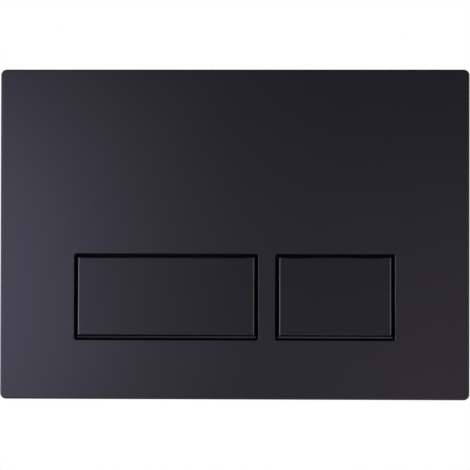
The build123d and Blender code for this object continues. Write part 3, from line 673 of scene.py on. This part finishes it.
# %% Make the bolts
BOLT_HEAD_LENGTH = 2.4 * MM
BOLT_HEAD_EDGE = 0.5 * MM
BOLT_SHOULDER_RADIUS = 5.0 * MM
BOLT_SHOULDER_LENGTH = 4.6 * MM
BOLT_RADIUS = 4.0 * MM
BOLT_PITCH = 3.0 * MM
BOLT_THREAD_DEPTH = 0.85 * MM
BOLT_OVERLAP = 0.5 * MM
BOLT_POINT = 1.0 * MM


def add_bolt(mesh, axis_x, head_radius, front, tip):
    """Adds one bolt along Y at height zero: head with recess, shoulder and thread."""
    head_back = front + BOLT_HEAD_LENGTH
    shoulder_back = head_back + BOLT_SHOULDER_LENGTH
    head = bmesh.new()
    front_rim = add_cylinder(head, axis_x, 0, head_radius, front, head_back)[0]
    bevel_rim(head, front_rim, BOLT_HEAD_EDGE)
    sink_cross(head, axis_x, 0, front)
    join_into(mesh, head)
    add_cylinder(mesh, axis_x, 0, BOLT_SHOULDER_RADIUS, head_back - BOLT_OVERLAP, shoulder_back)
    thread_front = shoulder_back - BOLT_OVERLAP
    add_thread(mesh, axis_x, 0, BOLT_RADIUS, BOLT_THREAD_DEPTH, BOLT_PITCH, thread_front, tip)


low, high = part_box("fixing_bolts")
head_radius = (high.z - low.z) / 2
bolts = bmesh.new()
for bolt_x in (low.x + head_radius, high.x - head_radius):
    add_bolt(bolts, bolt_x, head_radius, low.y, high.y)

for vert in bolts.verts:
    past_point = vert.co.y - (high.y - BOLT_POINT)
    if past_point > 0:
        axis = Vector((math.copysign(high.x - head_radius, vert.co.x), vert.co.y, 0))
        vert.co = axis + (vert.co - axis) * (1 - past_point / BOLT_RADIUS)
piece = finish_piece(bolts, "threaded_fixing_bolts", "bolt_nylon")
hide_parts("fixing_bolts")
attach(piece, "plate")
print(piece.name, len(piece.data.polygons), "faces")

# %% [markdown]
# ## The floor
#
# The plate hangs on a wall in use, so the floor lies well below it. A pale floor would shine up into the
# black face and take its depth away, so it is left out of what the object mirrors and is lit by: only
# the camera sees it, with the object's shadow on it. Its own soft glow brings it near the white behind.

# %% Lay the floor
FLOOR_DROP = 0.4
FLOOR_HALF_WIDTH = 3.0
FLOOR_HALF_DEPTH = 2.0
FLOOR_COLOUR = (0.9, 0.9, 0.9)
FLOOR_GLOW = 0.7
WHITE = (1.0, 1.0, 1.0, 1.0)


def combine(tree, operation, first, second):
    """Joins two values by a Math node, where the second may be a plain number."""
    node = tree.nodes.new("ShaderNodeMath")
    node.operation = operation
    tree.links.new(first, node.inputs[0])
    if isinstance(second, float):
        node.inputs[1].default_value = second
    else:
        tree.links.new(second, node.inputs[1])
    return node.outputs["Value"]


floor_finish, floor_tree, floor_shader = new_finish("pale_floor", FLOOR_COLOUR, specular=0.1)
floor_grain = add_noise(floor_tree, per_metre=40)
vary_roughness(floor_tree, floor_grain, floor_shader, middle=0.875, swing=0.075)
floor_path = floor_tree.nodes.new("ShaderNodeLightPath")
floor_glow = combine(floor_tree, "MULTIPLY", floor_path.outputs["Is Camera Ray"], FLOOR_GLOW)
floor_tree.links.new(floor_glow, floor_shader.inputs["Emission Strength"])
floor_shader.inputs["Emission Color"].default_value = WHITE

sheet = bmesh.new()
bmesh.ops.create_grid(sheet, x_segments=1, y_segments=1, size=1.0)
bmesh.ops.scale(sheet, vec=(FLOOR_HALF_WIDTH, FLOOR_HALF_DEPTH, 1), verts=sheet.verts)
bmesh.ops.translate(sheet, vec=(0, 0, -FLOOR_DROP), verts=sheet.verts)
floor_data = bpy.data.meshes.new("floor")
sheet.to_mesh(floor_data)
sheet.free()
floor_data.materials.append(floor_finish)
floor = bpy.data.objects.new("floor", floor_data)
scene.collection.objects.link(floor)
floor.visible_diffuse = False
floor.visible_glossy = False
floor.visible_shadow = False
print("Floor", FLOOR_DROP, "m below the middle of the plate")

# %% [markdown]
# ## Light
#
# A black satin face shows the lamps around it as soft tails of light. A cool box close on the left gives
# the bright left side, a narrow one low on the right lifts the lower right, and two strips far out to
# the sides draw the edges of the buttons. A small card below draws the lips under them. Nothing in front
# shines from above, so the top edges stay dark. A wide box behind gives the mechanism light and shade.
# Each lamp is given by its direction from the plate in degrees, its distance and size in metres, and its
# brightness.

# %% Set the lamps
LAMP_POWER_PER_BRIGHTNESS = math.pi


def add_box_lamp(name, yaw, pitch, distance, size, brightness):
    """A soft box that faces the plate's middle, with its brightness in red, green and blue."""
    width, height = size
    data = bpy.data.lights.new(name, "AREA")
    data.shape = "RECTANGLE"
    data.size = width
    data.size_y = height
    peak = max(brightness)
    data.color = [value / peak for value in brightness]
    data.energy = LAMP_POWER_PER_BRIGHTNESS * width * height * peak
    lamp = bpy.data.objects.new(name, data)
    outwards = direction(math.radians(yaw), math.radians(pitch))
    lamp.location = outwards * distance
    lamp.rotation_mode = "QUATERNION"
    lamp.rotation_quaternion = outwards.to_track_quat("Z", "Y")
    lamp.visible_camera = False
    scene.collection.objects.link(lamp)


def neutral(level):
    """A brightness with no tint."""
    return (level, level, level)


COOL_LEFT = (2.23, 2.13, 3.00)
COOL_RIGHT = (1.06, 0.94, 1.19)
add_box_lamp("left_box", yaw=-46.4, pitch=-5.2, distance=0.363, size=(0.417, 0.275), brightness=COOL_LEFT)
add_box_lamp(
    "low_right_box", yaw=20.5, pitch=-36.2, distance=0.415, size=(0.134, 0.732), brightness=COOL_RIGHT
)
add_box_lamp("left_strip", yaw=-70, pitch=-8, distance=0.9, size=(0.25, 0.8), brightness=neutral(6.5))
add_box_lamp("right_strip", yaw=62, pitch=-8, distance=0.9, size=(0.2, 0.8), brightness=neutral(7.0))
add_box_lamp("low_card", yaw=22, pitch=-62, distance=0.5, size=(0.35, 0.12), brightness=neutral(1.9))
add_box_lamp("back_key", yaw=150, pitch=40, distance=1.0, size=(0.9, 0.9), brightness=neutral(1.5))

# %% [markdown]
# ## The world
#
# Behind the plate stands a white studio wall, and in front of it the room is dark. A world that changes
# from front to back does both, and it also fills the shadows of the mechanism seen from behind. Metal
# mirrors the wall as white, and the camera itself always sees white.

# %% Build the world
WALL_LIGHT = 0.7
WALL_FADE_START = 0.0
WALL_FADE_END = 0.25

world = bpy.data.worlds.new("studio")
scene.world = world
world.use_nodes = True
world_tree = world.node_tree
world_tree.nodes.clear()
look = world_tree.nodes.new("ShaderNodeTexCoord")
look_axes = world_tree.nodes.new("ShaderNodeSeparateXYZ")
wall = world_tree.nodes.new("ShaderNodeMapRange")
wall.inputs["From Min"].default_value = WALL_FADE_START
wall.inputs["From Max"].default_value = WALL_FADE_END
world_tree.links.new(look.outputs["Generated"], look_axes.inputs["Vector"])
world_tree.links.new(look_axes.outputs["Y"], wall.inputs["Value"])

ray = world_tree.nodes.new("ShaderNodeLightPath").outputs
mirrored = combine(world_tree, "MAXIMUM", ray["Is Glossy Ray"], ray["Is Transmission Ray"])
wall_level = combine(world_tree, "MAXIMUM", mirrored, WALL_LIGHT)
lit_wall = combine(world_tree, "MULTIPLY", wall.outputs["Result"], wall_level)
seen = combine(world_tree, "MAXIMUM", lit_wall, ray["Is Camera Ray"])
background = world_tree.nodes.new("ShaderNodeBackground")
background.inputs["Color"].default_value = WHITE
world_output = world_tree.nodes.new("ShaderNodeOutputWorld")
world_tree.links.new(seen, background.inputs["Strength"])
world_tree.links.new(background.outputs["Background"], world_output.inputs["Surface"])
print("The wall lights the back at", WALL_LIGHT)
